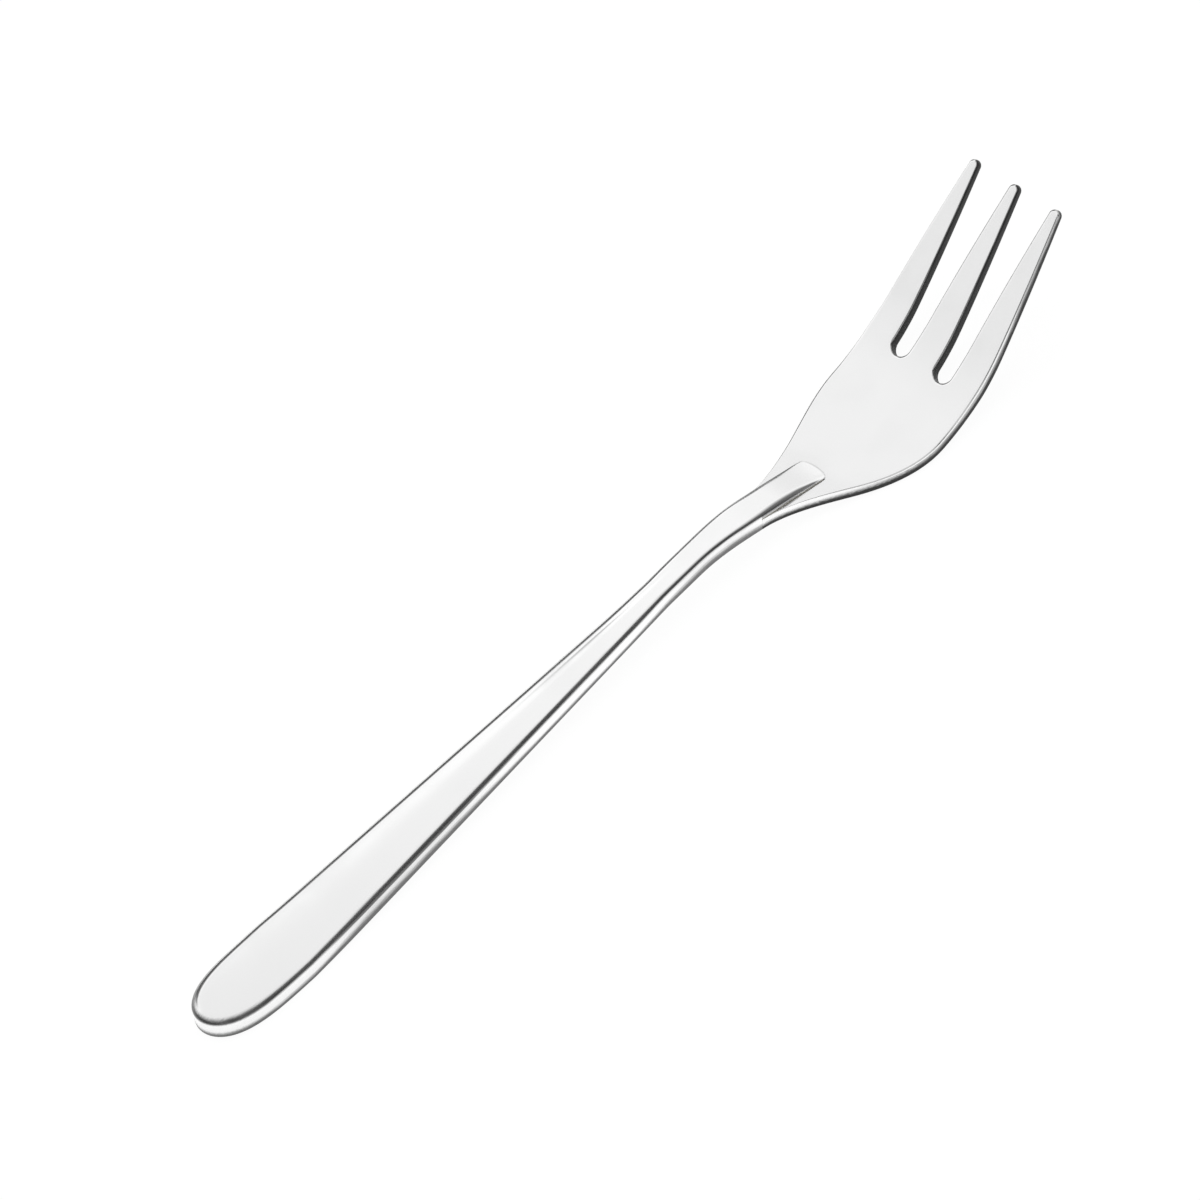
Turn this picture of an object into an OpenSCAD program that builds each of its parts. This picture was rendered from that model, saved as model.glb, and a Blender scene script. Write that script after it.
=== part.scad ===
// Appetizer fork, lying on a table with its tines forward and up.
// A flat tapered handle bar ends in a thin tongue that is brazed onto the root of a bent three-tined head.
// Lengths run along the bent metal and heights are measured up from its underside, in millimetres.
// x points to the tines, z = 0 is the table, and the origin lies under the middle of the length.

/* [Whole fork] */
// Length of the whole fork along the metal, which the straight of the handle makes up
fork_len = 156.8; // [140:0.2:190]

/* [Handle] */
// Length of the upturned end of the handle
curl_len = 24; // [20:0.5:30]
// Bend radius of the upturned end
curl_radius = 210; // [100:5:240]
// Width of the handle at its widest
handle_w = 10.3; // [7:0.1:14]
// Thickness of the bar at its upturned end
end_t = 3.2; // [2.5:0.1:4]
// Thickness of the bar at the neck
handle_t = 2.7; // [2.5:0.1:4]
// Length of the rounded end, seen from above
end_len = 15; // [8:0.5:19]
// How blunt the rounded ends of the handle and the tongue are: 2 is half an ellipse
end_bluntness = 4; // [2:0.5:5]
// Rounding of the handle's upper edges
top_edge_r = 0.75; // [0.3:0.05:0.9]
// Rounding of the handle's lower edges
low_edge_r = 0.4; // [0.2:0.05:0.9]

/* [Neck and tongue] */
// Width of the stem at its narrowest
neck_w = 3.7; // [3:0.1:4.5]
// Length of the parallel stem before the neck bend
stem_len = 6; // [2:0.5:12]
// Bend radius of the neck
neck_radius = 35; // [25:1:60]
// Angle by which the neck bends down
neck_drop = 16; // [10:0.5:20]
// Width of the tongue
tongue_w = 4.6; // [4:0.1:6]
// Length of the rounded end of the tongue, seen from above
tongue_end_len = 1.4; // [0.8:0.1:2.5]
// Length of the sloped end of the tongue
ramp_len = 8.5; // [5:0.5:10]
// Thickness left at the end of the tongue
lip_t = 0.15; // [0.1:0.05:0.3]

/* [Braze] */
// Thickness of the braze between tongue and head
braze_t = 0.15; // [0.1:0.01:0.25]
// Distance that the braze stays back from the edges of the tongue
braze_inset = 0.2; // [0.15:0.05:0.6]

/* [Head] */
// Straight root between the neck bend and the bowl
root_len = 12.6; // [11.5:0.1:18]
// Bend radius of the bowl
bowl_radius = 31; // [24:0.5:45]
// Angle by which the bowl bends up
bowl_sweep = 49.5; // [40:0.5:55]
// Straight length of the tines beyond the bowl
tine_straight = 20; // [14:0.5:30]
// Thickness of the head
head_t = 1.8; // [1.4:0.1:2]
// Rounding of the head's edges
edge_r = 0.4; // [0.2:0.05:0.5]
// Distance from the start of the bowl to the full width of the shoulders
shoulder_len = 13; // [9:0.5:15]

/* [Tines] */
// Number of tines
tine_count = 3; // [2:1:4]
// Distance between the tines at their roots
tine_pitch = 7.6; // [6.5:0.1:8.5]
// Distance between the tines at their tips
tip_pitch = 7.25; // [6:0.05:8.5]
// Width of a tine at its root
tine_w = 4.6; // [3.6:0.1:5.2]
// Width of a tine at its tip
tip_w = 1.6; // [1.2:0.1:2.4]
// Thickness of a tine at its tip
tip_t = 1.2; // [1.1:0.1:1.4]
// How late the tines taper: 1 is a straight taper
tine_fullness = 1.5; // [1:0.1:2]
// Length of the tines from the slot bottoms to the tips
tine_len = 27; // [20:0.5:32]

/* [Hidden] */

// Least rounding where two pieces meet flush
seam_r = 0.05;
// Distance between the neck bend and the rear of the head's tab
tab_setback = 0.5;
// Distance by which the tongue stops short of the bowl
tongue_setback = 0.3;
// Length of the steep step in the underside of the handle where the tab lies
step_len = 0.1;
// Largest shares of the tongue's thickness that the rounding of its upper and lower edges may take
tongue_top_share = 0.6;
tongue_low_share = 0.3;
// Distance between the last full row of the palm and the slot bottoms
slot_lead = 1;
// Spacing of the cross-sections where the metal is bent, and along the tines
bend_step = 1.15;
tine_step = 1.6;
// Steps in each rounded edge, in half of the handle's and of the tongue's rounded end,
// along the tongue's slope, and in a quarter of a slot bottom and of a tine tip
edge_steps = 4;
end_steps = 12;
tongue_steps = 6;
ramp_steps = 8;
arc_steps = 6;
nose_steps = 5;
// Half of the distance over which the slope of an edge is taken
slope_step = 0.01;

// Side view: six stretches of the underside, each an arc or a straight, from the handle's end to the tips
curl_turn = curl_len / curl_radius * 180 / PI;
neck_arc = neck_radius * neck_drop * PI / 180;
bowl_arc = bowl_radius * bowl_sweep * PI / 180;
handle_straight = fork_len - curl_len - neck_arc - root_len - bowl_arc - tine_straight;
stretches = [curl_len, handle_straight, neck_arc, root_len, bowl_arc, tine_straight];
turns = [curl_turn, 0, -neck_drop, 0, bowl_sweep, 0];

// Stations along the metal, from the handle's end
at_straight = curl_len;
at_neck = at_straight + handle_straight;
at_root = at_neck + neck_arc;
at_bowl = at_root + root_len;
at_tip = at_bowl + bowl_arc + tine_straight;
at_tab = at_root + tab_setback;
at_tongue_end = at_bowl - tongue_setback;
at_ramp = at_tongue_end - ramp_len;
at_shoulder = at_bowl + shoulder_len;

// Tines and slots
slot_r = (tine_pitch - tine_w) / 2;
at_slot = at_tip - tine_len;
at_tine = at_slot + slot_r;
at_nose = at_tip - tip_w / 2;
head_half = (tine_count - 1) / 2 * tine_pitch + tine_w / 2;

// Point and direction reached after a distance along the underside, for a given first direction
function arc_move(distance, angle, stretch, turn) =
    turn == 0
        ? distance * [cos(angle), sin(angle)]
        : let (radius = stretch / turn * 180 / PI, end = angle + turn * distance / stretch)
            radius * [sin(end) - sin(angle), cos(angle) - cos(end)];
function path(distance, angle, i = 0, start = [0, 0]) =
    i == len(stretches) - 1 || distance <= stretches[i]
        ? [start + arc_move(distance, angle, stretches[i], turns[i]),
            angle + turns[i] * distance / stretches[i]]
        : path(distance - stretches[i], angle + turns[i], i + 1,
            start + arc_move(stretches[i], angle, stretches[i], turns[i]));

// Tilt at which the upturned end and the bowl both touch the table
curl_centre = path(at_straight, -curl_turn)[0] + [0, curl_radius];
bowl_centre = path(at_bowl, -curl_turn)[0] + bowl_radius * [sin(neck_drop), cos(neck_drop)];
between = bowl_centre - curl_centre;
rest_tilt = asin((bowl_radius - curl_radius) / norm(between)) - atan2(between[1], between[0]);
first_angle = rest_tilt - curl_turn;
table_z = path(at_straight, first_angle)[0][1] + curl_radius * cos(rest_tilt) - curl_radius;
tip_end = path(at_tip, first_angle);
middle_x = (tip_end[0][0] - edge_r * sin(tip_end[1]) - low_edge_r * sin(first_angle)) / 2;

// Puts a point of the flat blank, given by its station, offset and height, onto the bent fork
function bent(station, offset, height) =
    let (place = path(station, first_angle), at = place[0], angle = place[1])
    [at[0] - height * sin(angle) - middle_x, offset, at[1] + height * cos(angle) - table_z];

// Smooth step from 0 to 1
function eased(share) = let (t = max(0, min(1, share))) t * t * (3 - 2 * t);
function share_of(value, low, high) = max(0, min(1, (value - low) / (high - low)));
function mixed(low, high, share) = low + (high - low) * share;

// Stations from one value to another at most a given step apart, without the last one
function stations(from, to, step) =
    let (count = max(1, ceil(abs(to - from) / step)))
    [for (i = [0:count - 1]) mixed(from, to, i / count)];

// Half-widths of the handle and of the head's outer edge
function handle_side(s) =
    s < at_neck
        ? mixed(handle_w, neck_w, share_of(s, end_len, at_neck - stem_len)) / 2
        : mixed(neck_w, tongue_w, eased(share_of(s, at_neck, at_tab))) / 2;
function tine_half(s) = mixed(tine_w, tip_w, pow(share_of(s, at_tine, at_nose), tine_fullness)) / 2;
function tine_offset(i, s) =
    ((tine_count - 1) / 2 - i) * mixed(tine_pitch, tip_pitch, share_of(s, at_tine, at_nose));
function head_side(s) =
    s < at_tine
        ? mixed(tongue_w / 2, head_half, eased(share_of(s, at_tab, at_shoulder)))
        : tine_offset(0, s) + tine_half(s);

// Outline point with its outward direction, on a side given as a half-width at each station
function side_point(s, offset_at, side) =
    let (rise = offset_at(s + slope_step) - offset_at(s - slope_step))
    let (slope = rise / (2 * slope_step), size = norm([slope, 1]))
    [s, side * offset_at(s), -slope / size, side / size];

// Half of a blunt oval end, from its side towards its middle point, which is left out.
// On it, (length share) ^ bluntness + (width share) ^ 2 = 1.
function blunt_end(base, length, half, toward, steps) =
    [for (i = [0:steps - 1])
        let (a = 90 * i / steps, along = pow(sin(a), 2 / end_bluntness))
        let (slope = toward * end_bluntness * pow(along, end_bluntness - 1) / length)
        let (normal = [slope, 2 * cos(a) / half], size = norm(normal))
        [base + toward * length * along, half * cos(a), normal[0] / size, normal[1] / size]];

// Heights of the two faces of each piece
function bar_top(s) = mixed(end_t, handle_t, share_of(s, at_straight, at_neck));
function handle_top(s) =
    mixed(bar_top(s), head_t + braze_t + lip_t, eased(share_of(s, at_ramp, at_tongue_end)));
function handle_low(s) = (head_t + braze_t) * share_of(s, at_tab - braze_t - step_len, at_tab - braze_t);
function head_top(s) = mixed(head_t, tip_t, share_of(s, at_tine, at_tip));

// Edge profile from the upper face to the lower face: how far in and how high each step lies
function edge(top, low, top_r, low_r) = concat(
    [for (i = [edge_steps:-1:0]) let (a = 90 * i / edge_steps)
        [top_r * (1 - cos(a)), top - top_r * (1 - sin(a))]],
    [for (i = [0:edge_steps]) let (a = 90 * i / edge_steps)
        [low_r * (1 - cos(a)), low + low_r * (1 - sin(a))]]);
handle_edge = function (s)
    let (top = handle_top(s), low = handle_low(s), bar = top - low)
    let (top_r = min(top_edge_r, bar * tongue_top_share))
    edge(top, low, top_r, low > 0 ? min(seam_r, bar * tongue_low_share) : low_edge_r);
head_edge = function (s)
    let (spread = s < at_tine ? head_side(s) - handle_side(s) : edge_r)
    edge(head_top(s), 0, min(edge_r, seam_r + max(0, spread)), edge_r);
braze_edge = function (s) [[0, head_t + braze_t], [0, head_t]];

// Bent plate with shaped edges: an outline, the triangles that fill it and the edge profile
module plate(outline, filling, edge_at) {
    count = len(outline);
    profiles = [for (p = outline) edge_at(p[0])];
    levels = len(profiles[0]);
    points = [for (k = [0:levels - 1], i = [0:count - 1])
        let (p = outline[i], in = profiles[i][k][0], height = profiles[i][k][1])
        bent(p[0] - in * p[2], p[1] - in * p[3], height)];
    walls = [for (k = [0:levels - 2], i = [0:count - 1])
        let (here = k * count + i, next = k * count + (i + 1) % count)
        each [[here, next + count, next], [here, here + count, next + count]]];
    under = [for (f = filling) [for (i = [2:-1:0]) f[i] + (levels - 1) * count]];
    polyhedron(points, concat(filling, walls, under), convexity = 6);
}

// Two triangles between a pair of outline points and the next pair
function cell(a, a_next, b_next, b) = [[a, a_next, b_next], [a, b_next, b]];

module handle() {
    rows = concat(
        [for (i = [1:ramp_steps - 1]) mixed(at_tongue_end - tongue_end_len, at_ramp, i / ramp_steps)],
        [at_ramp, at_tab - braze_t, at_tab - braze_t - step_len],
        stations(at_root, at_neck, bend_step),
        [at_neck, at_neck - stem_len],
        stations(at_straight, end_len, bend_step));
    tongue_end = blunt_end(at_tongue_end - tongue_end_len, tongue_end_len, tongue_w / 2, 1, tongue_steps);
    side = concat(
        [for (i = [tongue_steps - 1:-1:0]) tongue_end[i]],
        [for (s = rows) side_point(s, function (s) handle_side(s), 1)],
        blunt_end(end_len, end_len, handle_w / 2, -1, end_steps));
    last = len(side);
    outline = concat(
        [for (p = side) [p[0], -p[1], p[2], -p[3]]],
        [[0, 0, -1, 0]],
        [for (i = [last - 1:-1:0]) side[i]],
        [[at_tongue_end, 0, 1, 0]]);
    filling = concat(
        [for (i = [0:last - 2]) each cell(i, i + 1, 2 * last - i - 1, 2 * last - i)],
        [[last - 1, last, last + 1], [2 * last + 1, 0, 2 * last]]);
    color([0.78, 0.79, 0.8]) plate(outline, filling, handle_edge);
}

module head() {
    palm_rows = concat(
        stations(at_tab, at_bowl, bend_step),
        stations(at_bowl, at_slot - slot_lead, bend_step),
        [at_slot - slot_lead]);
    slot_turns = [for (i = [0:arc_steps - 1]) 90 * i / arc_steps];
    tine_rows = concat(stations(at_tine, at_nose, tine_step), [at_nose]);
    // Edge of a tine from the slot's bottom to its tip, on one side
    function tine_edge(i, side) =
        let (outer = side > 0 ? i == 0 : i == tine_count - 1)
        let (slot_y = tine_offset(i, at_tine) + side * tine_pitch / 2)
        concat(
            [for (a = slot_turns) let (s = at_tine - slot_r * cos(a))
                outer
                    ? side_point(s, function (s) head_side(s), side)
                    : [s, slot_y - side * slot_r * sin(a), cos(a), side * sin(a)]],
            [for (s = tine_rows)
                let (p = side_point(s, function (s) tine_half(s) + side * tine_offset(i, s), 1))
                [p[0], side * p[1], p[2], side * p[3]]],
            [for (k = [1:nose_steps - 1]) let (a = 90 * k / nose_steps, r = tip_w / 2)
                [at_nose + r * sin(a), tine_offset(i, at_tip) + side * r * cos(a), sin(a), side * cos(a)]]);
    palm = [for (s = palm_rows) side_point(s, function (s) head_side(s), 1)];
    rows = len(palm);
    reach = len(slot_turns) + len(tine_rows) + nose_steps - 1;
    outline = concat(
        palm,
        [for (i = [0:tine_count - 1]) let (left = tine_edge(i, 1), right = tine_edge(i, -1))
            each concat(
                [for (k = [i == 0 ? 0 : 1:reach - 1]) left[k]],
                [[at_tip, tine_offset(i, at_tip), 1, 0]],
                [for (k = [reach - 1:-1:0]) right[k]])],
        [for (i = [rows - 1:-1:0]) [palm[i][0], -palm[i][1], palm[i][2], -palm[i][3]]]);
    last = len(outline) - 1;
    // Outline numbers of the left and right edge of a tine, and of the row where the slots begin
    function left_of(i, k) = rows + 2 * reach * i + k;
    function right_of(i, k) = rows + 2 * reach * (i + 1) - k;
    front = concat([left_of(0, 0)], [for (i = [0:tine_count - 1]) right_of(i, 0)]);
    turn = floor(tine_count / 2) + 1;
    filling = concat(
        [for (i = [0:rows - 2]) each cell(i, i + 1, last - i - 1, last - i)],
        [for (k = [0:turn - 1]) [rows - 1, front[k], front[k + 1]]],
        [[rows - 1, front[turn], last - rows + 1]],
        [for (k = [turn:1:tine_count - 1]) [last - rows + 1, front[k], front[k + 1]]],
        [for (i = [0:tine_count - 1], k = [0:reach - 2])
            each cell(left_of(i, k), left_of(i, k + 1), right_of(i, k + 1), right_of(i, k))],
        [for (i = [0:tine_count - 1]) [left_of(i, reach - 1), left_of(i, reach), right_of(i, reach - 1)]]);
    color([0.82, 0.83, 0.84]) plate(outline, filling, head_edge);
}

module braze() {
    half = tongue_w / 2 - braze_inset;
    rear = at_tab + braze_inset;
    front = at_tongue_end - braze_inset;
    side = concat(
        [[rear, half, 0, 1]],
        blunt_end(front - tongue_end_len, tongue_end_len, half, 1, tongue_steps));
    outline = concat(
        side,
        [[front, 0, 1, 0]],
        [for (i = [len(side) - 1:-1:0]) [side[i][0], -side[i][1], side[i][2], -side[i][3]]]);
    filling = [for (i = [1:len(outline) - 2]) [0, i, i + 1]];
    color([0.72, 0.7, 0.62]) plate(outline, filling, braze_edge);
}

handle();
head();
braze();
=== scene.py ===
import math

import bmesh
import bpy
from mathutils import Matrix, Vector


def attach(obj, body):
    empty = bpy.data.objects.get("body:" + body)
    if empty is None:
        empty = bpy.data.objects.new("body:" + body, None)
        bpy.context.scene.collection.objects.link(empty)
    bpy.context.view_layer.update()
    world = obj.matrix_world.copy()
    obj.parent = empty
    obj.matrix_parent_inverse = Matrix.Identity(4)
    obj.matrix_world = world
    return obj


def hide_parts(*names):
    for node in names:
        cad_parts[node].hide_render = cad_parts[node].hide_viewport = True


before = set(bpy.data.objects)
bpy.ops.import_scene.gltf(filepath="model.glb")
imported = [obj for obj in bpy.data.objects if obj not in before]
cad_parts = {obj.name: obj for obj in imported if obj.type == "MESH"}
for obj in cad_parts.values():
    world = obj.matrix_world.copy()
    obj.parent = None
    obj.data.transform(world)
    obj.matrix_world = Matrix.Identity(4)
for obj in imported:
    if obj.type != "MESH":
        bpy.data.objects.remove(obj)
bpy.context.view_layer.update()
scene = bpy.context.scene
mm = 0.001  # sizes are written in millimetres, and the scene is in metres
print("frame loaded:", ", ".join(sorted(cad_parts)))


def shareOf(value, low, high):
    return max(0.0, min(1.0, (value - low) / (high - low)))


def easedShare(value, low, high):
    share = shareOf(value, low, high)
    return share * share * (3 - 2 * share)


def mixed(low, high, share):
    return low + (high - low) * share


def stepsBetween(start, end, step):  # evenly spaced values, the last one left out
    count = max(1, math.ceil(abs(end - start) / step))
    return [mixed(start, end, i / count) for i in range(count)]


# Side view of the fork, along its underside from the handle's end to the tine tips
sideView = {
    "forkLength": 156.8,  # along the metal
    "curlLength": 24.0,
    "curlRadius": 210.0,
    "neckRadius": 35.0,
    "neckDrop": math.radians(16.0),
    "rootLength": 12.6,
    "bowlRadius": 31.0,
    "bowlSweep": math.radians(49.5),
    "tineStraight": 20.0,
    "tabSetback": 0.5,  # from the neck bend to the rear of the head's tab
    "tongueSetback": 0.3,  # from the end of the tongue to the bowl
}

neckArc = sideView["neckRadius"] * sideView["neckDrop"]
bowlArc = sideView["bowlRadius"] * sideView["bowlSweep"]
atTip = sideView["forkLength"]
atBowl = atTip - sideView["tineStraight"] - bowlArc
atRoot = atBowl - sideView["rootLength"]
atNeck = atRoot - neckArc
atTab = atRoot + sideView["tabSetback"]
atTongueEnd = atBowl - sideView["tongueSetback"]
curlTurn = sideView["curlLength"] / sideView["curlRadius"]

# Each stretch has its length and its bend radius: None is straight, and a negative radius bends down
stretches = [
    ("Curl", sideView["curlLength"], sideView["curlRadius"]),
    ("Bar", atNeck - sideView["curlLength"], None),
    ("Neck", neckArc, -sideView["neckRadius"]),
    ("Root", sideView["rootLength"], None),
    ("Bowl", bowlArc, sideView["bowlRadius"]),
    ("Tines", sideView["tineStraight"], None),
]


def walkTo(station, angle):  # point on the underside in side view, and the direction there
    along = rise = 0.0
    for _, length, radius in stretches:
        travelled = min(max(station, 0.0), length)
        station -= length
        half = travelled / radius / 2 if radius else 0.0
        chord = 2 * radius * math.sin(half) if radius else travelled
        along += chord * math.cos(angle + half)
        rise += chord * math.sin(angle + half)
        angle += 2 * half
    return along, rise, angle


def restingAngle():  # first direction at which the curl and the bowl both touch the table
    x, z, _ = walkTo(sideView["curlLength"], -curlTurn)
    curlCentre = Vector((x, z + sideView["curlRadius"]))
    x, z, angle = walkTo(atBowl, -curlTurn)
    bowlCentre = Vector((x, z)) + sideView["bowlRadius"] * Vector((-math.sin(angle), math.cos(angle)))
    apart = bowlCentre - curlCentre
    tilt = math.asin((sideView["bowlRadius"] - sideView["curlRadius"]) / apart.length)
    return tilt - math.atan2(apart.y, apart.x) - curlTurn


firstAngle = restingAngle()
_, curlZ, barAngle = walkTo(sideView["curlLength"], firstAngle)
tableZ = curlZ - sideView["curlRadius"] * (1 - math.cos(barAngle))

# Geometry Nodes: bends a flat blank, drawn as station, offset and height, along the side view
pressSizes = {name + " Length": length * mm for name, length, _ in stretches}
pressSizes.update({name + " Radius": radius * mm for name, _, radius in stretches if radius})
pressSizes.update({
    "First Angle": firstAngle,
    "Table Height": tableZ * mm,
    "Middle": 0.0,  # set once the blanks' sizes are known
    "Crease Angle": math.radians(40),  # true corners, as at the step over the tab, stay sharp
})


def buildPress():
    tree = bpy.data.node_groups.new("pressToShape", "GeometryNodeTree")
    sockets = tree.interface
    sockets.new_socket("Blank", in_out="INPUT", socket_type="NodeSocketGeometry")
    for name in pressSizes:
        sockets.new_socket(name, in_out="INPUT", socket_type="NodeSocketFloat")
    sockets.new_socket("Finish", in_out="INPUT", socket_type="NodeSocketMaterial")
    sockets.new_socket("Piece", in_out="OUTPUT", socket_type="NodeSocketGeometry")
    nodes, links = tree.nodes, tree.links
    given = nodes.new("NodeGroupInput").outputs

    def calc(operation, first, second=None):
        node = nodes.new("ShaderNodeMath")
        node.operation = operation
        for socket, value in zip(node.inputs, (first, second)):
            if isinstance(value, (int, float)):
                socket.default_value = value
            elif value is not None:
                links.new(value, socket)
        return node.outputs[0]

    place = nodes.new("GeometryNodeInputPosition").outputs[0]
    flat = nodes.new("ShaderNodeSeparateXYZ")
    links.new(place, flat.inputs[0])
    station, offset, height = flat.outputs
    along = calc("MULTIPLY", given["Middle"], -1)
    rise = calc("MULTIPLY", given["Table Height"], -1)
    angle = given["First Angle"]
    for name, _, radius in stretches:
        length = given[name + " Length"]
        chord = calc("MINIMUM", calc("MAXIMUM", station, 0.0), length)
        station = calc("SUBTRACT", station, length)
        heading = angle
        if radius:
            across = calc("MULTIPLY", given[name + " Radius"], 2.0)
            half = calc("DIVIDE", chord, across)
            chord = calc("MULTIPLY", across, calc("SINE", half))
            heading = calc("ADD", angle, half)
            angle = calc("ADD", heading, half)
        along = calc("ADD", along, calc("MULTIPLY", chord, calc("COSINE", heading)))
        rise = calc("ADD", rise, calc("MULTIPLY", chord, calc("SINE", heading)))
    bent = nodes.new("ShaderNodeCombineXYZ")
    links.new(calc("SUBTRACT", along, calc("MULTIPLY", height, calc("SINE", angle))), bent.inputs[0])
    links.new(offset, bent.inputs[1])
    links.new(calc("ADD", rise, calc("MULTIPLY", height, calc("COSINE", angle))), bent.inputs[2])

    remember = nodes.new("GeometryNodeStoreNamedAttribute")  # the finish follows the flat blank
    remember.data_type, remember.domain = "FLOAT_VECTOR", "POINT"
    remember.inputs["Name"].default_value = "blankPlace"
    move = nodes.new("GeometryNodeSetPosition")
    smooth = nodes.new("GeometryNodeSetShadeSmooth")
    crease = nodes.new("GeometryNodeSetShadeSmooth")
    crease.domain = "EDGE"
    crease.inputs["Shade Smooth"].default_value = False
    bendAcross = nodes.new("GeometryNodeInputMeshEdgeAngle").outputs["Unsigned Angle"]
    links.new(calc("GREATER_THAN", bendAcross, given["Crease Angle"]), crease.inputs["Selection"])
    realize = nodes.new("GeometryNodeRealizeInstances")
    finish = nodes.new("GeometryNodeSetMaterial")
    result = nodes.new("NodeGroupOutput")
    links.new(place, remember.inputs["Value"])
    links.new(bent.outputs[0], move.inputs["Position"])
    links.new(given["Finish"], finish.inputs["Material"])
    chain = [given["Blank"]]
    for node in (remember, move, smooth, crease, realize, finish):
        links.new(chain[-1], node.inputs[0])
        chain.append(node.outputs[0])
    links.new(chain[-1], result.inputs[0])
    return tree


# A blank is a flat plate with shaped edges. Its outline runs once round it, and each point is station,
# offset and outward direction. The edge profile of a point lists rings from the upper to the lower face:
# inset, height and dull-shade share, which says how dull the edge is there and how much painted shade darkens
# it.
lowFade = 0.6  # share of the lower rounding after which the dull edge and its painted shade fade
weldDistance = 1e-8


def edgeRings(top, low, topRound, lowRound, lead, steps, dullShade):
    def ring(level, rounding, turn, toward, amount):
        a = math.pi / 2 * turn
        return rounding[0] * (1 - math.cos(a)), level + toward * rounding[1] * (1 - math.sin(a)), amount

    rings = [(topRound[0] + lead, top, 0.0)]
    peak = dullShade["peak"]  # where the upper rounding is dullest and its painted dark line peaks, from 0 at the wall to 1 at the face
    for i in range(steps + 1):
        turn = 1 - i / steps
        upper = shareOf(turn, peak, 1)
        amount = mixed(dullShade["top"], 0.0, upper) if upper else mixed(dullShade["wall"], dullShade["top"], turn / peak)
        rings.append(ring(top, topRound, turn, -1, amount))
    wallTop, wallLow = top - topRound[1], low + lowRound[1]
    rings.append((0.0, mixed(wallLow, wallTop, dullShade["band"]), dullShade["wall"]))  # below here the wall darkens with painted shade
    for i in range(steps + 1):
        turn = i / steps
        rings.append(ring(low, lowRound, turn, 1, dullShade["low"] * (1 - shareOf(turn, lowFade, 1))))
    return rings + [(lowRound[0] + lead, low, 0.0)]


def sidePoint(station, halfAt, side, reach=0.05):
    slope = (halfAt(station + reach) - halfAt(station - reach)) / (2 * reach)
    size = math.hypot(slope, 1)
    return station, side * halfAt(station), -slope / size, side / size


def bluntEnd(base, half, length, bluntness, toward, turns):  # blunt oval, from the left side to the right
    points = []
    for a in turns:
        across, along = math.cos(a), math.sin(a) ** (2 / bluntness)
        out = Vector((toward * bluntness * along ** (bluntness - 1) / length, 2 * across / half)).normalized()
        points.append((base + toward * length * along, half * across, out.x, out.y))
    return points


def squareEnd(station, half, toward, columns):  # from the left side to the right, and flat where toward is 0
    shares = [1 - 2 * j / columns for j in range(columns + 1)]
    return [(station, half * share, toward, share) for share in shares]  # the rings draw in evenly


def mirrored(points):
    return [(s, -y, outS, -outY) for s, y, outS, outY in reversed(points)]


class Blank:
    def __init__(self, outline, profiles, crownAt=None):
        self.points, self.faces, self.dullShade = [], [], []
        self.count, self.levels = len(outline), len(profiles[0])
        self.crownAt = crownAt
        for level in range(self.levels):
            for (s, y, outS, outY), rings in zip(outline, profiles):
                inset, height, dullShade = rings[level]
                self.points.append((s - inset * outS, y - inset * outY, height))
                self.dullShade.append(dullShade)
        for level in range(self.levels - 1):
            for i in range(self.count):
                here, beside = level * self.count + i, level * self.count + (i + 1) % self.count
                self.faces.append((here, beside, beside + self.count, here + self.count))

    def line(self, level, anchors, columns):  # a row of points across a face, between points of the outline
        found = []
        for first, last in zip(anchors, anchors[1:]):
            a, b = (Vector(self.points[level * self.count + i]) for i in (first, last))
            found.append(level * self.count + first)
            for j in range(1, columns):
                point = a.lerp(b, j / columns)
                if self.crownAt and level == 0:
                    point.z += self.crownAt(point.x, point.y)
                self.points.append(tuple(point))
                self.dullShade.append(0.0)
                found.append(len(self.points) - 1)
        return found + [level * self.count + anchors[-1]]

    def join(self, first, second):
        if len(second) == 1:
            self.faces += [(a, b, second[0]) for a, b in zip(first, first[1:])]
        else:
            self.faces += [(a, b, d, c) for a, b, c, d in zip(first, first[1:], second, second[1:])]

    def fill(self, level, rows, columns):  # rows of points of the outline, filled one to the next
        lines = [self.line(level, row, columns // max(1, len(row) - 1)) for row in rows]
        for first, second in zip(lines, lines[1:]):
            self.join(first, second)
        return lines[-1]

    def mesh(self, name):
        made = bpy.data.meshes.new(name)
        made.from_pydata([[x * mm for x in point] for point in self.points], [], self.faces)
        # share of dull edge and painted shade at each point, read by the finish
        mark = made.attributes.new("dullShadeEdge", "FLOAT", "POINT")
        mark.data.foreach_set("value", self.dullShade)
        work = bmesh.new()
        work.from_mesh(made)
        bmesh.ops.remove_doubles(work, verts=work.verts, dist=weldDistance)
        bmesh.ops.recalc_face_normals(work, faces=work.faces)
        work.to_mesh(made)
        work.free()
        return made


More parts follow.
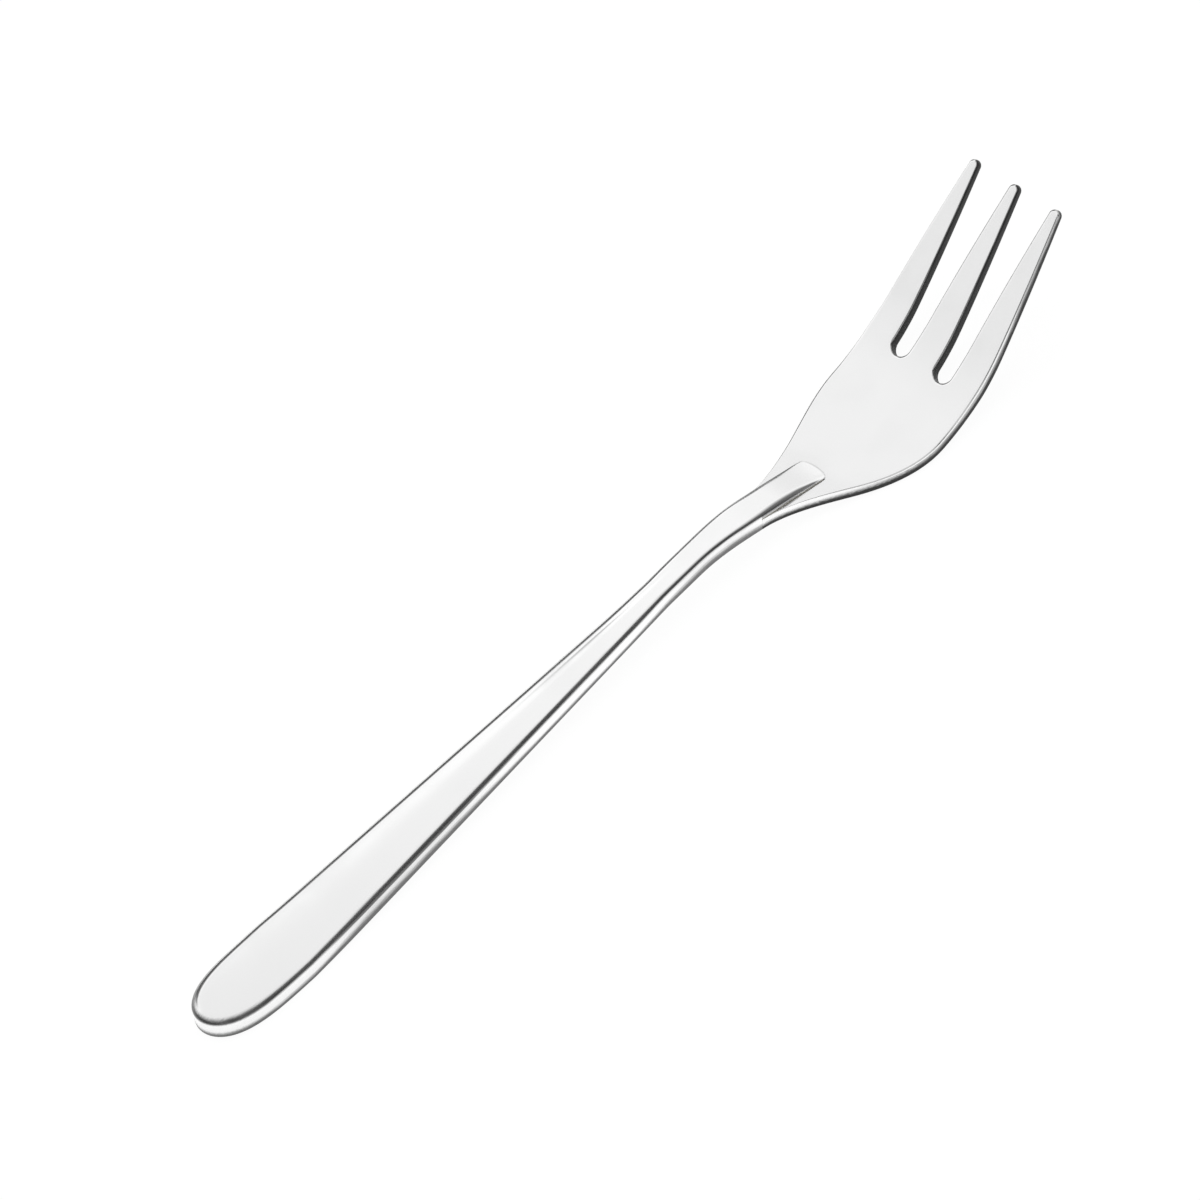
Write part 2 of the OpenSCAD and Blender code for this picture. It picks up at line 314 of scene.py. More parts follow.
# Handle: a tapered bar with a blunt round end, narrowing to a stem and a thin tongue
handleSizes = {
    "width": 10.3,
    "endThick": 3.2,
    "neckThick": 2.7,
    "endLength": 15.0,
    "endBluntness": 4.0,  # 2 is half an ellipse
    "stemWidth": 3.7,
    "stemLength": 6.0,
    "tongueWidth": 4.6,
    "tongueEnd": 1.4,  # length of its rounded end
    "rampLength": 8.5,
    "lip": 0.15,
    "underTongue": 1.95,  # head and braze under the tongue
    "seamGap": 0.01,
    "stepLength": 0.01,
    "topRound": (1.2, 1.0),  # across and down
    "stemRound": 0.6,  # share of it that is left on the stem
    "slimLength": 14.0,  # over which it gets there
    "lapRound": 0.85,  # share left where the lap begins
    "lapSpread": 3.0,
    "tongueRound": 0.45,  # across, at the tongue's corners
    "cornerReach": 6.0,
    "lowRound": (0.45, 0.4),
    "seamRound": 0.05,
    "roundShare": (0.85, 0.1),  # most of the tongue's thickness that its upper and lower roundings take
    "crown": 0.1,
    "crownFade": 20.0,
    "leastHalf": 0.1,  # of the crowned face
    "lead": 0.15,
    # how dull the edges are, with painted shade and painted dark reflection lines on them: along the bar,
    # along its middle, and on the stem
    "dullShade": {"top": 0.7, "wall": 0.2, "low": 1.0, "band": 0.55, "peak": 0.3},
    "midBarDullShade": {"top": 0.95, "wall": 0.42, "low": 1.0, "band": 0.75, "peak": 0.12},
    "stemDullShade": {"top": 0.8, "wall": 0.4, "low": 1.0, "band": 0.7, "peak": 0.5},
    "midBarStart": (14.0, 26.0),
    "midBarEnd": (36.0, 60.0),
    "endDullShade": 0.95,  # painted dark line on the upper edge round the end
    "endDullShadeFade": (3.0, 14.0),
    "endLowDullShade": 0.9,  # share of the lower edge's there
    "endLowFade": (0.0, 4.0),
    "lapTopDullShade": 0.95,  # painted dark line on the tongue's upper edge
    "lapTopFade": (3.0, 0.4),  # before the tongue's end, which is blended in
    "lapCut": 0.55,  # painted shade on the tongue's wall where the lap begins, in the wedge against the head
    "lapFade": (4.0, 1.0),  # from the tab's rear and before the tongue's end
    "edgeSteps": 8,
    "endSteps": 40,
    "cornerLead": 0.3,  # from the tongue's corners to the next row
    "tongueStep": 0.4,  # lengths between rows
    "neckStep": 0.5,
    "barStep": 0.8,
    "columns": 14,
}
atRamp = atTongueEnd - handleSizes["rampLength"]
atStep = atTab - handleSizes["seamGap"]
atCorner = atTongueEnd - handleSizes["tongueEnd"]


def handleHalf(s):
    size = handleSizes
    if s < atNeck:
        narrowed = shareOf(s, size["endLength"], atNeck - size["stemLength"])
        return mixed(size["width"], size["stemWidth"], narrowed) / 2
    return mixed(size["stemWidth"], size["tongueWidth"], easedShare(s, atNeck, atTab)) / 2


def handleDullShade(s, slim, lapped, onTongue):
    size = handleSizes
    onStem = slim * (1 - lapped)
    share = {"top": slim, "peak": slim, "wall": onStem, "band": onStem, "low": onStem}
    inMidBar = easedShare(s, *size["midBarStart"]) * (1 - easedShare(s, *size["midBarEnd"]))
    dullShade = {part: mixed(size["dullShade"][part], size["stemDullShade"][part], share[part]) for part in share}
    dullShade = {part: mixed(dullShade[part], size["midBarDullShade"][part], inMidBar) for part in dullShade}
    dullShade["top"] = mixed(size["endDullShade"], dullShade["top"], easedShare(s, *size["endDullShadeFade"]))
    dullShade["top"] = mixed(dullShade["top"], size["lapTopDullShade"], lapped)
    dullShade["top"] *= 1 - easedShare(s, *(atTongueEnd - before for before in size["lapTopFade"]))
    dullShade["low"] *= mixed(size["endLowDullShade"], 1, easedShare(s, *size["endLowFade"]))
    # painted shade on the tongue's wall and lower edge where it laps onto the head
    if onTongue:
        after, before = size["lapFade"]
        dullShade["wall"] = dullShade["low"] = size["lapCut"] * (1 - easedShare(s, atTab + after, atTongueEnd - before))
    return dullShade


def handleProfile(s):
    size = handleSizes
    bar = mixed(size["endThick"], size["neckThick"], shareOf(s, sideView["curlLength"], atNeck))
    top = mixed(bar, size["underTongue"] + size["lip"], easedShare(s, atRamp, atTongueEnd))
    low = size["underTongue"] * shareOf(s, atStep - size["stepLength"], atStep)
    thinned = easedShare(s, atNeck, atStep)  # the upper rounding flattens along the neck
    slim = easedShare(s, atNeck - size["slimLength"], atNeck)
    lapped = easedShare(s, atRoot - size["lapSpread"], atTab + size["lapSpread"])
    roundLeft = mixed(mixed(1, size["stemRound"], slim), size["lapRound"], lapped)
    across, down = (r * roundLeft for r in size["topRound"])
    across = mixed(across, size["tongueRound"], easedShare(s, atTongueEnd - size["cornerReach"], atCorner))
    mostTop, mostLow = size["roundShare"]
    down = mixed(down, min(down, mostTop * (top - size["underTongue"])), thinned)
    lowRound = [min(size["seamRound"], mostLow * (top - low)) if low else r for r in size["lowRound"]]
    dullShade = handleDullShade(s, slim, lapped, low > 0)
    return edgeRings(top, low, (across, down), lowRound, size["lead"], size["edgeSteps"], dullShade)


def handleCrown(s, y):
    size = handleSizes
    inner = handleHalf(max(s, size["endLength"])) - size["topRound"][0] - size["lead"]
    fade = easedShare(s, 0, size["endLength"]) * (1 - easedShare(s, atNeck - size["crownFade"], atNeck))
    return size["crown"] * fade * max(0.0, 1 - (y / max(size["leastHalf"], inner)) ** 2)


def makeHandle():
    size = handleSizes
    stations = stepsBetween(atCorner - size["cornerLead"], atRamp, size["tongueStep"])
    stations += stepsBetween(atRamp, atStep, size["tongueStep"]) + [atStep, atStep - size["stepLength"]]
    stations += stepsBetween(atRoot, atNeck, size["neckStep"])
    stations += stepsBetween(atNeck, size["endLength"], size["barStep"])
    side = [sidePoint(s, handleHalf, 1) for s in stations]
    turns = [math.pi / 2 * (i / size["endSteps"]) ** 2 for i in range(size["endSteps"])]
    side += bluntEnd(size["endLength"], size["width"] / 2, size["endLength"], size["endBluntness"], -1, turns)
    turns = [math.pi * j / size["columns"] for j in range(size["columns"] + 1)]
    tongue = bluntEnd(atCorner, size["tongueWidth"] / 2, size["tongueEnd"], size["endBluntness"], 1, turns)
    outline = side + [(0.0, 0.0, -1.0, 0.0)] + mirrored(side) + tongue[::-1]
    blank = Blank(outline, [handleProfile(point[0]) for point in outline], handleCrown)
    right = 2 * len(side)  # outline number of the right side's first point
    rows = [list(range(len(outline) - 1, right, -1))]
    rows += [[i, right - i] for i in range(len(side))] + [[len(side)]]
    for level in (0, blank.levels - 1):
        blank.fill(level, rows, size["columns"])
    return blank.mesh("handleBlank")


# Head: one stamped plate with a tab under the tongue, wide shoulders and tapered tines
headSizes = {
    "thick": 1.8,
    "tabWidth": 4.6,
    "shoulderLength": 13.0,
    "edgeRound": 0.4,
    "seamRound": 0.05,
    "tineCount": 3,
    "tinePitch": 7.6,
    "tipPitch": 7.25,
    "tineWidth": 4.6,
    "tipWidth": 1.6,
    "tipThick": 1.2,
    "tineFullness": 1.5,
    "tineLength": 27.0,
    "slotLead": 1.0,
    "lead": 0.12,
    # how dull the stamped slots and the edge round the outside are, and how much painted shade and painted
    # dark reflection they take, beside the slots and at the tips
    "slotDullShade": {"top": 0.6, "wall": 1.0, "low": 1.0, "band": 0.7, "peak": 0.3},
    "slotTipDullShade": {"top": 0.85, "wall": 1.0, "low": 1.0, "band": 0.7, "peak": 0.4},
    "rimDullShade": {"top": 0.1, "wall": 0.55, "low": 1.0, "band": 0.9, "peak": 0.3},
    "rimTipDullShade": {"top": 0.5, "wall": 0.7, "low": 1.0, "band": 0.9, "peak": 0.3},
    "tipFade": (4.0, 16.0),  # along the tines
    "bareFade": (2.0, 8.0),  # after the tab's rear and after the start of the bowl
    "edgeSteps": 6,
    "arcSteps": 12,
    "noseSteps": 8,
    "palmStep": 0.6,
    "tineStep": 0.7,
    "columns": 6,
}
slotRadius = (headSizes["tinePitch"] - headSizes["tineWidth"]) / 2
atSlot = atTip - headSizes["tineLength"]
atTine = atSlot + slotRadius
atNose = atTip - headSizes["tipWidth"] / 2


def tineHalf(s):
    size = headSizes
    return mixed(size["tineWidth"], size["tipWidth"], shareOf(s, atTine, atNose) ** size["tineFullness"]) / 2


def tineOffset(i, s):
    size = headSizes
    pitch = mixed(size["tinePitch"], size["tipPitch"], shareOf(s, atTine, atNose))
    return ((size["tineCount"] - 1) / 2 - i) * pitch


def headHalf(s):
    size = headSizes
    if s >= atTine:
        return tineOffset(0, s) + tineHalf(s)
    full = (size["tineCount"] - 1) / 2 * size["tinePitch"] + size["tineWidth"] / 2
    return mixed(size["tabWidth"] / 2, full, easedShare(s, atTab, atBowl + size["shoulderLength"]))


def headProfile(s, inSlot):
    size = headSizes
    top = mixed(size["thick"], size["tipThick"], shareOf(s, atTine, atTip))
    clear = easedShare(s, atTab, atBowl)  # the tab's lower edge carries on the handle's
    lowRound = [mixed(r, size["edgeRound"], clear) for r in handleSizes["lowRound"]]
    afterTab, afterBowl = size["bareFade"]  # polished on the tab, and bare from the shoulders on
    bare = easedShare(s, atTab + afterTab, atBowl + afterBowl)
    upper = mixed(size["seamRound"], size["edgeRound"], bare)
    root, tip = (size["slotDullShade"], size["slotTipDullShade"]) if inSlot else (size["rimDullShade"], size["rimTipDullShade"])
    towardTip = easedShare(s, *(atTine + along for along in size["tipFade"]))
    dullShade = {part: mixed(root[part], tip[part], towardTip) for part in root}
    # the walls' dull finish and painted shade start from the shoulders on
    dullShade["wall"] *= bare
    lead = size["lead"] if s > atTab else 0.0  # the tab's rear is flat
    return edgeRings(top, 0.0, (upper, upper), lowRound, lead, size["edgeSteps"], dullShade)


def tineEdge(i, side):  # from the slot's bottom, or from the shoulder, to the tip
    size = headSizes
    outer = i == (0 if side > 0 else size["tineCount"] - 1)
    slotY = tineOffset(i, atTine) + side * size["tinePitch"] / 2
    faceRadius = slotRadius + size["edgeRound"] + size["lead"]  # rows run straight across to the slot's rim
    points = []
    for k in range(size["arcSteps"]):
        a = math.pi / 2 * k / size["arcSteps"]
        across, along = math.sin(a), math.cos(a)
        if outer:
            points.append(sidePoint(atTine - faceRadius * along, headHalf, side))
        else:
            y = slotY - side * slotRadius * across
            points.append((atTine - slotRadius * along, y, along, side * across))
    for s in stepsBetween(atTine, atNose, size["tineStep"]) + [atNose]:
        s, y, outS, outY = sidePoint(s, lambda t: tineHalf(t) + side * tineOffset(i, t), 1)
        points.append((s, side * y, outS, side * outY))
    nose = size["tipWidth"] / 2
    for k in range(1, size["noseSteps"]):
        a = math.pi / 2 * k / size["noseSteps"]
        across, along = math.cos(a), math.sin(a)
        y = tineOffset(i, atTip) + side * nose * across
        points.append((atNose + nose * along, y, along, side * across))
    return points


def makeHead():
    size = headSizes
    count, columns = size["tineCount"], size["columns"]
    lastRow = atSlot - size["slotLead"]
    stations = stepsBetween(atTab, atBowl, size["palmStep"])
    stations += stepsBetween(atBowl, lastRow, size["palmStep"]) + [lastRow]
    palm = [sidePoint(s, headHalf, 1) for s in stations[1:]]
    outline = list(palm)
    lefts, rights = [], []  # outline numbers of each tine's edges
    for i in range(count):
        left, right = tineEdge(i, 1), tineEdge(i, -1)
        shared = [] if i == 0 else [rights[-1][0]]  # neighbours share the middle of a slot's bottom
        start = len(outline)
        outline += left[len(shared):]
        lefts.append(shared + list(range(start, len(outline))))
        outline.append((atTip, tineOffset(i, atTip), 1.0, 0.0))
        start = len(outline)
        outline += right[::-1]
        rights.append(list(range(start, len(outline)))[::-1])
    outline += mirrored(palm)
    last = len(outline) - 1
    outline += squareEnd(atTab, size["tabWidth"] / 2, 0.0, columns * count)[::-1]
    slotEdges = set(sum(lefts[1:] + rights[:-1], []))
    blank = Blank(outline, [headProfile(point[0], i in slotEdges) for i, point in enumerate(outline)])
    rows = [list(range(len(outline) - 1, last, -1))] + [[i, last - i] for i in range(len(palm))]
    rows.append([lefts[0][0]] + [edge[0] for edge in rights])
    for level in (0, blank.levels - 1):
        roots = blank.fill(level, rows, columns * count)
        for i in range(count):
            tine = [[a, b] for a, b in zip(lefts[i][1:], rights[i][1:])] + [[lefts[i][-1] + 1]]
            lines = [roots[columns * i:columns * (i + 1) + 1]]
            lines += [blank.line(level, row, columns) for row in tine]
            for first, second in zip(lines, lines[1:]):
                blank.join(first, second)
    return blank.mesh("headBlank")


# Braze: a thin film between the tongue and the head's tab, drawn in a little at its rim
brazeSizes = {
    "low": 1.8,
    "thick": 0.15,
    "inset": 0.2,
    "rim": 0.06,
    "lead": 0.05,
    "edgeSteps": 4,
    "sideStep": 0.6,
    "columns": 12,
}


def makeBraze():
    size = brazeSizes
    half = headSizes["tabWidth"] / 2 - size["inset"]
    endLength = handleSizes["tongueEnd"]
    rear, corner = atTab + size["inset"], atTongueEnd - size["inset"] - endLength
    side = [(s, half, 0.0, 1.0) for s in stepsBetween(rear, corner, size["sideStep"])[1:]]
    near = squareEnd(rear, half, -1.0, size["columns"])
    turns = [math.pi * j / size["columns"] for j in range(size["columns"] + 1)]
    far = bluntEnd(corner, half, endLength, handleSizes["endBluntness"], 1, turns)
    outline = side + far + mirrored(side) + near[::-1]
    middle, last = size["thick"] / 2, 2 * len(side) + len(far) - 1
    rings = []
    for k in range(2 * size["edgeSteps"] + 1):
        across = 1 - k / size["edgeSteps"]
        rings.append((size["rim"] * (1 - across * across), size["low"] + middle * (1 + across), 0.0))
    rings = [(size["lead"], rings[0][1], 0.0)] + rings + [(size["lead"], rings[-1][1], 0.0)]
    blank = Blank(outline, [rings] * len(outline))
    rows = [list(range(len(outline) - 1, last, -1))] + [[i, last - i] for i in range(len(side))]
    rows.append(list(range(len(side), len(side) + len(far))))
    for level in (0, blank.levels - 1):
        blank.fill(level, rows, size["columns"])
    return blank.mesh("brazeBlank")


# Finishes. The shared effects are node groups, and every material reads the place on the flat blank.
effects = {
    "grainDetail": 3.0,
    "waveDetail": 1.0,
    "smudgeDetail": 4.0,
    "smudgeRange": (0.38, 0.68),
    "tornBy": 0.5,  # how far the grain tears a dull, painted-shade edge
    "tornFrom": 0.75,
    "dullShadeRange": (0.25, 0.85),
    "grainTint": 0.35,
    "smudgeTint": 0.65,
    "grainRough": 0.3,  # beside the smudges, which count in full
    "reliefUnit": 0.000001,  # heights are in thousandths of a millimetre
}


def newGroup(name, inputs, outputs):
    tree = bpy.data.node_groups.new(name, "ShaderNodeTree")
    for label, kind in inputs:
        tree.interface.new_socket(label, in_out="INPUT", socket_type="NodeSocket" + kind)
    for label, kind in outputs:
        tree.interface.new_socket(label, in_out="OUTPUT", socket_type="NodeSocket" + kind)
    return tree, tree.nodes.new("NodeGroupInput").outputs, tree.nodes.new("NodeGroupOutput").inputs


def feed(tree, socket, value):
    if isinstance(value, bpy.types.NodeSocket):
        tree.links.new(value, socket)
    else:
        socket.default_value = value


def mathNode(tree, operation, *values):
    node = tree.nodes.new("ShaderNodeMath")
    node.operation = operation
    for socket, value in zip(node.inputs, values):
        feed(tree, socket, value)
    return node.outputs[0]


def rangeNode(tree, value, low, high, first, last, smooth=False):
    node = tree.nodes.new("ShaderNodeMapRange")
    node.interpolation_type = "SMOOTHSTEP" if smooth else "LINEAR"
    labels = ("Value", "From Min", "From Max", "To Min", "To Max")
    for label, given in zip(labels, (value, low, high, first, last)):
        feed(tree, node.inputs[label], given)
    return node.outputs["Result"]


def mixColour(tree, share, first, second):
    node = tree.nodes.new("ShaderNodeMix")
    node.data_type = "RGBA"
    for socket, given in zip((0, 6, 7), (share, first, second)):  # the colour sockets, whose names repeat
        feed(tree, node.inputs[socket], given)
    return node.outputs[2]


def noiseNode(tree, vector, scale, detail):
    node = tree.nodes.new("ShaderNodeTexNoise")
    feed(tree, node.inputs["Vector"], vector)
    feed(tree, node.inputs["Scale"], scale)
    node.inputs["Detail"].default_value = detail
    return node.outputs[0]


def buildPolish():  # lengthwise polishing lines, slow waves and soft smudges
    tree, given, result = newGroup(
        "polishGrain",
        [("Place", "Vector"), ("Lines", "Float"), ("Stretch", "Float"),
         ("Waves", "Float"), ("Smudges", "Float")],
        [("Grain", "Float"), ("Wave", "Float"), ("Smudge", "Float")],
    )
    squeeze = tree.nodes.new("ShaderNodeCombineXYZ")
    feed(tree, squeeze.inputs[0], mathNode(tree, "DIVIDE", given["Lines"], given["Stretch"]))
    feed(tree, squeeze.inputs[1], given["Lines"])
    feed(tree, squeeze.inputs[2], given["Lines"])
    drawn = tree.nodes.new("ShaderNodeVectorMath")
    drawn.operation = "MULTIPLY"
    feed(tree, drawn.inputs[0], given["Place"])
    feed(tree, drawn.inputs[1], squeeze.outputs[0])
    feed(tree, result["Grain"], noiseNode(tree, drawn.outputs[0], 1.0, effects["grainDetail"]))
    feed(tree, result["Wave"], noiseNode(tree, given["Place"], given["Waves"], effects["waveDetail"]))
    smudge = noiseNode(tree, given["Place"], given["Smudges"], effects["smudgeDetail"])
    feed(tree, result["Smudge"], rangeNode(tree, smudge, *effects["smudgeRange"], 0.0, 1.0, True))
    return tree


def buildDullShadeEdge():  # dull stamped walls that the polish doesn't reach, darkened further with painted shade and painted dark reflections along the edges
    tree, given, result = newGroup(
        "dullShadeEdge",
        [("Cut", "Float"), ("Grain", "Float"), ("Face", "Color"), ("Wall", "Color"),
         ("Face Roughness", "Float"), ("Wall Roughness", "Float")],
        [("Colour", "Color"), ("Roughness", "Float")],
    )
    torn = mathNode(tree, "MULTIPLY_ADD", given["Grain"], effects["tornBy"], effects["tornFrom"])
    dullShadeLevel = mathNode(tree, "MULTIPLY", given["Cut"], torn)
    share = rangeNode(tree, dullShadeLevel, *effects["dullShadeRange"], 0.0, 1.0, True)
    rough = rangeNode(tree, share, 0.0, 1.0, given["Face Roughness"], given["Wall Roughness"])
    feed(tree, result["Colour"], mixColour(tree, share, given["Face"], given["Wall"]))
    feed(tree, result["Roughness"], rough)
    return tree


polishGrain, dullShadeEdge = buildPolish(), buildDullShadeEdge()


def steelFinish(name, look):
    material = bpy.data.materials.new(name)
    material.use_nodes = True
    tree = material.node_tree
    shader = tree.nodes["Principled BSDF"]
    place = tree.nodes.new("ShaderNodeAttribute")
    place.attribute_name = "blankPlace"
    polish = tree.nodes.new("ShaderNodeGroup")
    polish.node_tree = polishGrain
    feed(tree, polish.inputs["Place"], place.outputs["Vector"])
    for label in ("Lines", "Stretch", "Waves", "Smudges"):
        polish.inputs[label].default_value = look[label.lower()]
    grain, wave, smudge = polish.outputs
    smudged = mathNode(tree, "MULTIPLY", smudge, effects["smudgeTint"])
    tint = mathNode(tree, "MULTIPLY_ADD", grain, effects["grainTint"], smudged)
    station = tree.nodes.new("ShaderNodeSeparateXYZ")
    feed(tree, station.inputs[0], place.outputs["Vector"])
    handled = rangeNode(tree, station.outputs[0], 0.0, look["handledLength"], 1.0, 0.0)
    colour = mixColour(tree, handled, mixColour(tree, tint, look["bright"], look["soft"]), look["handled"])
    amount = mathNode(tree, "MULTIPLY_ADD", grain, effects["grainRough"], smudge)
    rough = rangeNode(tree, amount, 0.0, 1 + effects["grainRough"], *look["roughness"])
    # dull edges with their painted shade, read from the blank
    dullShade = tree.nodes.new("ShaderNodeAttribute")
    dullShade.attribute_name = "dullShadeEdge"
    edge = tree.nodes.new("ShaderNodeGroup")
    edge.node_tree = dullShadeEdge
    given = (dullShade.outputs["Fac"], grain, colour, look["wall"], rough, look["wallRoughness"])
    for socket, value in zip(edge.inputs, given):
        feed(tree, socket, value)
    lines = mathNode(tree, "MULTIPLY", grain, look["grainHeight"])
    relief = mathNode(tree, "MULTIPLY_ADD", wave, look["waveHeight"], lines)
    bump = tree.nodes.new("ShaderNodeBump")
    bump.inputs["Distance"].default_value = effects["reliefUnit"]
    feed(tree, bump.inputs["Height"], relief)
    feed(tree, shader.inputs["Base Color"], edge.outputs["Colour"])
    feed(tree, shader.inputs["Roughness"], edge.outputs["Roughness"])
    feed(tree, shader.inputs["Normal"], bump.outputs["Normal"])
    shader.inputs["Metallic"].default_value = 1.0
    return material


def grey(level):
    return (level, level, level, 1.0)


handleLook = {
    "bright": grey(0.95),
    "soft": grey(0.91),
    "handled": grey(0.82),  # worn a little duller towards the handle's end
    "handledLength": 0.09,
    # dark colour of the dull edges, which also paints shade and dark reflections on them
    "wall": grey(0.16),
    "roughness": (0.13, 0.22),
    "wallRoughness": 0.35,
    "lines": 5200.0,  # polishing lines and smudges in each metre
    "stretch": 40.0,
    "waves": 190.0,
    "smudges": 130.0,
    "waveHeight": 6.0,
    "grainHeight": 0.6,
}
# near-black edge colour of the head: dull stamped walls with painted shade and painted dark reflections
headLook = dict(handleLook, bright=grey(0.875), soft=grey(0.845), wall=grey(0.04), wallRoughness=0.45,
                waves=240.0, smudges=170.0)
brazeLook = dict(handleLook, bright=(0.74, 0.71, 0.63, 1.0), soft=(0.62, 0.59, 0.5, 1.0),
                 roughness=(0.3, 0.45), stretch=1.5, waves=900.0, smudges=1500.0)

pressShape = buildPress()


def pressPiece(name, blank, finish):
    piece = bpy.data.objects.new(name, blank)
    scene.collection.objects.link(piece)
    press = piece.modifiers.new("press", "NODES")
    press.node_group = pressShape
    values = dict(pressSizes, Finish=finish)
    for socket in pressShape.interface.items_tree:
        if socket.in_out == "INPUT" and socket.name in values:
            press[socket.identifier] = values[socket.name]
    pressed = bpy.data.meshes.new_from_object(piece.evaluated_get(bpy.context.evaluated_depsgraph_get()))
    piece.modifiers.remove(press)
    piece.data = pressed
    pressed.name = name
    bpy.data.meshes.remove(blank)
    print("pressed", name, "with", len(pressed.polygons), "faces")
    return piece


# The blanks are drawn from the handle's end, and the frame starts under the middle of the length
tipX, _, tipAngle = walkTo(atTip, firstAngle)
tipInset = headSizes["edgeRound"] * math.sin(tipAngle)
endInset = handleSizes["lowRound"][1] * math.sin(firstAngle)
pressSizes["Middle"] = (tipX - tipInset - endInset) / 2 * mm

pieces = {
    "handle": ("handle_steel", makeHandle, steelFinish("polishedHandleSteel", handleLook)),
    "head": ("head_steel", makeHead, steelFinish("polishedHeadSteel", headLook)),
    "braze": ("braze_alloy", makeBraze, steelFinish("silverBraze", brazeLook)),
}
for node, (slotName, make, finish) in pieces.items():
    piece = pressPiece("fork_" + node, make(), finish)
    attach(piece, "root")
    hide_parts(node)

# Studio: a white table, a bright dome and a dark front, as in a light tent with a gap for the camera
studio = {
    "floorSize": 4.0,
    "floorColour": grey(0.9),
    "floorRoughness": 0.9,
    "whiteShare": 0.95,  # how far the table is lifted to plain white for the camera
    "glossyShare": 0.3,
    "dome": 1.0,
    "handleSide": 0.92,  # towards the handle's end
    "handleSideX": (-0.65, -0.05),
    "rim": 1.16,  # brighter round the black card behind the fork
    "rimY": (0.58, 0.66),
    "horizon": 0.65,  # dimmer low down
    "horizonZ": (0.15, 0.55),
    # black cards, one behind the fork and one past the handle's end, which draw its edges
    "card": 0.12,
    "behindCard": (("X", -0.15, 0.15), ("X", 0.86, 0.76), ("Y", 0.7, 0.8)),
    "pastCard": (("X", -0.55, -0.66), ("Z", 0.5, 0.4), ("Y", -0.6, -0.45)),
    # the dark front, darkest on both sides of its middle
    "front": 0.06,
    "frontSides": 0.65,
    "frontEdge": (("Y", -0.45, -0.6),),
    "nearHead": (("X", -0.58, -0.45), ("X", -0.2, -0.35)),
    "nearHandle": (("X", 0.02, 0.17), ("X", 0.68, 0.56)),
    "lampHeight": 1.3,
    "lampSize": 0.9,
    "lampPower": 12.0,
}


def makeFloor():
    half = studio["floorSize"] / 2
    made = bpy.data.meshes.new("table")
    corners = [(-half, -half, 0), (half, -half, 0), (half, half, 0), (-half, half, 0)]
    made.from_pydata(corners, [], [(0, 1, 2, 3)])
    floor = bpy.data.objects.new("table", made)
    scene.collection.objects.link(floor)
    material = bpy.data.materials.new("whiteTable")
    material.use_nodes = True
    tree = material.node_tree
    shader = tree.nodes["Principled BSDF"]
    shader.inputs["Base Color"].default_value = studio["floorColour"]
    shader.inputs["Roughness"].default_value = studio["floorRoughness"]
    shader.inputs["Specular IOR Level"].default_value = 0.0
    white = tree.nodes.new("ShaderNodeEmission")
    rays = tree.nodes.new("ShaderNodeLightPath").outputs
    bounced = mathNode(tree, "MAXIMUM", rays["Is Glossy Ray"], rays["Is Transmission Ray"])
    share = mathNode(tree, "MULTIPLY_ADD", rays["Is Camera Ray"], studio["whiteShare"],
                     mathNode(tree, "MULTIPLY", bounced, studio["glossyShare"]))
    blend = tree.nodes.new("ShaderNodeMixShader")
    feed(tree, blend.inputs[0], share)
    feed(tree, blend.inputs[1], shader.outputs[0])
    feed(tree, blend.inputs[2], white.outputs[0])
    feed(tree, tree.nodes["Material Output"].inputs["Surface"], blend.outputs[0])
    made.materials.append(material)


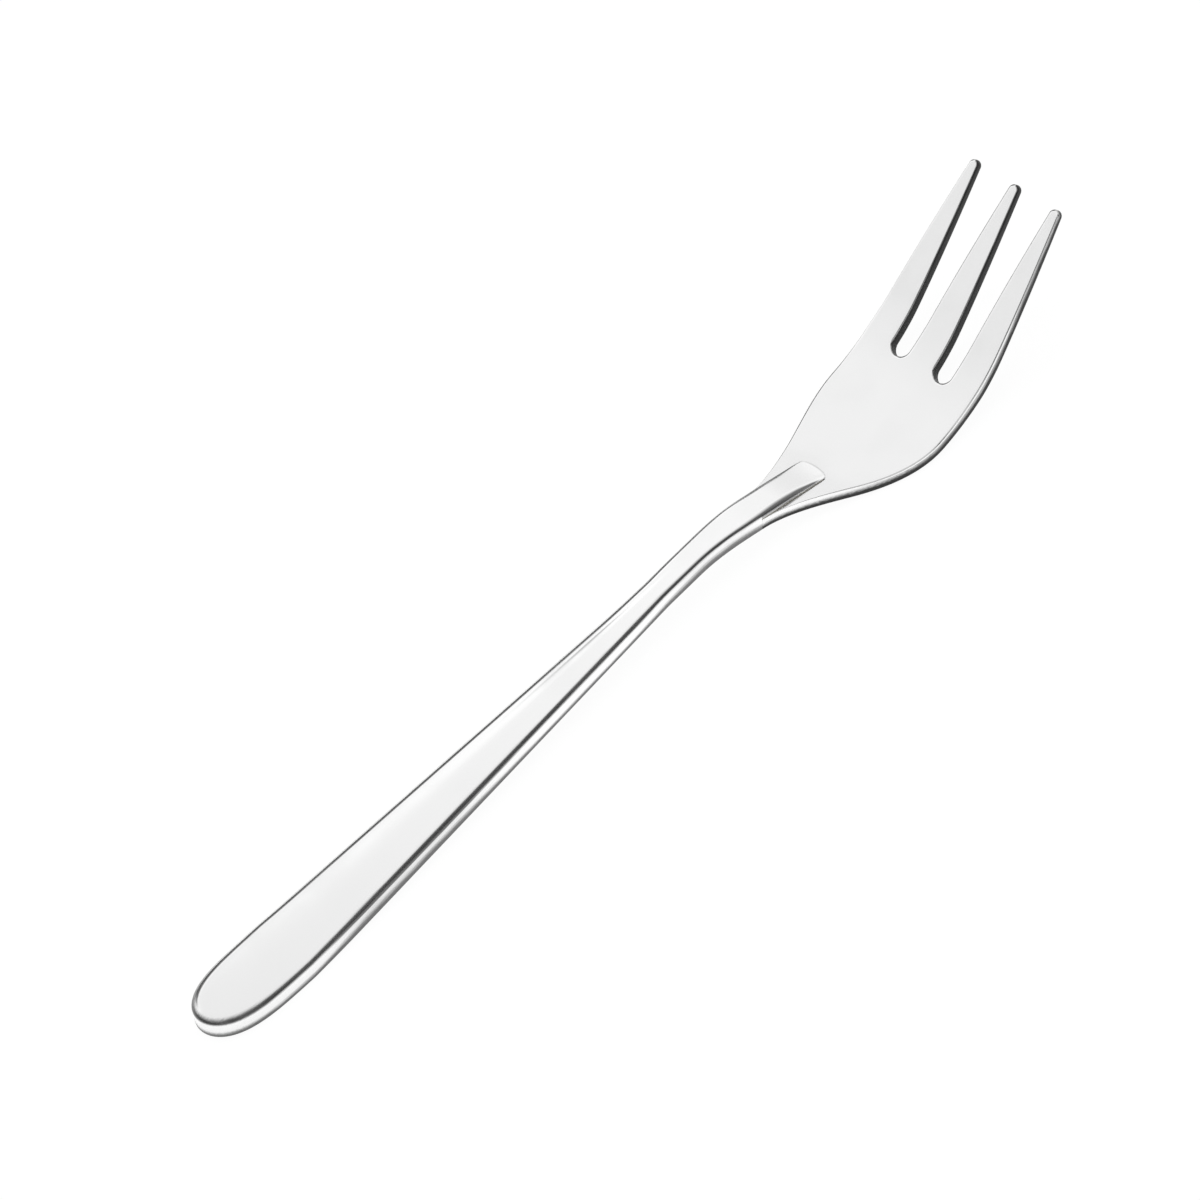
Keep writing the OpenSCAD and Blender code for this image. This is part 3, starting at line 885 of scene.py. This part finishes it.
def makeDome():
    world = bpy.data.worlds.new("lightTent")
    scene.world = world
    world.use_nodes = True
    tree = world.node_tree
    separate = tree.nodes.new("ShaderNodeSeparateXYZ")
    feed(tree, separate.inputs[0], tree.nodes.new("ShaderNodeTexCoord").outputs["Generated"])
    toward = separate.outputs

    def patch(name):  # 1 within the patch's soft edges, which give an axis, its outer and its inner value
        edges = [rangeNode(tree, toward[axis], outer, inner, 0.0, 1.0, True)
                 for axis, outer, inner in studio[name]]
        share = edges[0]
        for edge in edges[1:]:
            share = mathNode(tree, "MULTIPLY", share, edge)
        return share

    cards = mathNode(tree, "MAXIMUM", patch("behindCard"), patch("pastCard"))
    card = rangeNode(tree, cards, 0.0, 1.0, 1.0, studio["card"])
    turned = rangeNode(tree, toward["X"], *studio["handleSideX"], studio["handleSide"], studio["dome"], True)
    rim = rangeNode(tree, toward["Y"], *studio["rimY"], 1.0, studio["rim"], True)
    low = rangeNode(tree, toward["Z"], *studio["horizonZ"], studio["horizon"], 1.0, True)
    dome = mathNode(tree, "MULTIPLY", turned, mathNode(tree, "MULTIPLY", rim, low))
    back = mathNode(tree, "MULTIPLY", card, dome)
    gap = mathNode(tree, "MAXIMUM", patch("nearHead"), patch("nearHandle"))
    front = rangeNode(tree, gap, 0.0, 1.0, studio["frontSides"], studio["front"])
    level = rangeNode(tree, patch("frontEdge"), 0.0, 1.0, back, front)
    camera = tree.nodes.new("ShaderNodeLightPath").outputs["Is Camera Ray"]
    feed(tree, tree.nodes["Background"].inputs["Color"], mixColour(tree, camera, level, grey(1.0)))


def makeLamp():  # softbox straight above, which lights the table
    lamp = bpy.data.lights.new("softbox", "AREA")
    lamp.shape, lamp.size = "SQUARE", studio["lampSize"]
    lamp.energy = studio["lampPower"]
    softbox = bpy.data.objects.new("softbox", lamp)
    softbox.location.z = studio["lampHeight"]
    softbox.visible_glossy = False  # the steel mirrors the tent alone
    scene.collection.objects.link(softbox)


makeFloor()
makeDome()
makeLamp()
scene.view_settings.view_transform = "Standard"
print("table and light tent ready")

# Camera: a long lens at the photograph's angle, turned about its own axis
view = {
    "azimuth": -0.53489,
    "elevation": 0.85321,
    "roll": -0.30998,
    "target": (-0.002039, 0.0, 0.012251),
    "distance": 1.4,
    "lens": 336.37,
    "sensor": 36.0,
    "clipEnd": 20.0,
}


def makeCamera():
    az, el, roll = view["azimuth"], view["elevation"], view["roll"]
    back = Vector((math.sin(az) * math.cos(el), -math.cos(az) * math.cos(el), math.sin(el)))
    right = Vector((math.cos(az), math.sin(az), 0))
    up = back.cross(right)
    across = right * math.cos(roll) + up * math.sin(roll)
    upward = up * math.cos(roll) - right * math.sin(roll)
    camera = bpy.data.objects.new("camera", bpy.data.cameras.new("camera"))
    scene.collection.objects.link(camera)
    turn = Matrix((across, upward, back)).transposed().to_4x4()
    camera.matrix_world = Matrix.Translation(Vector(view["target"]) + back * view["distance"]) @ turn
    camera.data.lens = view["lens"]
    camera.data.sensor_fit = "HORIZONTAL"
    camera.data.sensor_width = view["sensor"]
    camera.data.clip_end = view["clipEnd"]
    scene.camera = camera


makeCamera()
print("camera placed")
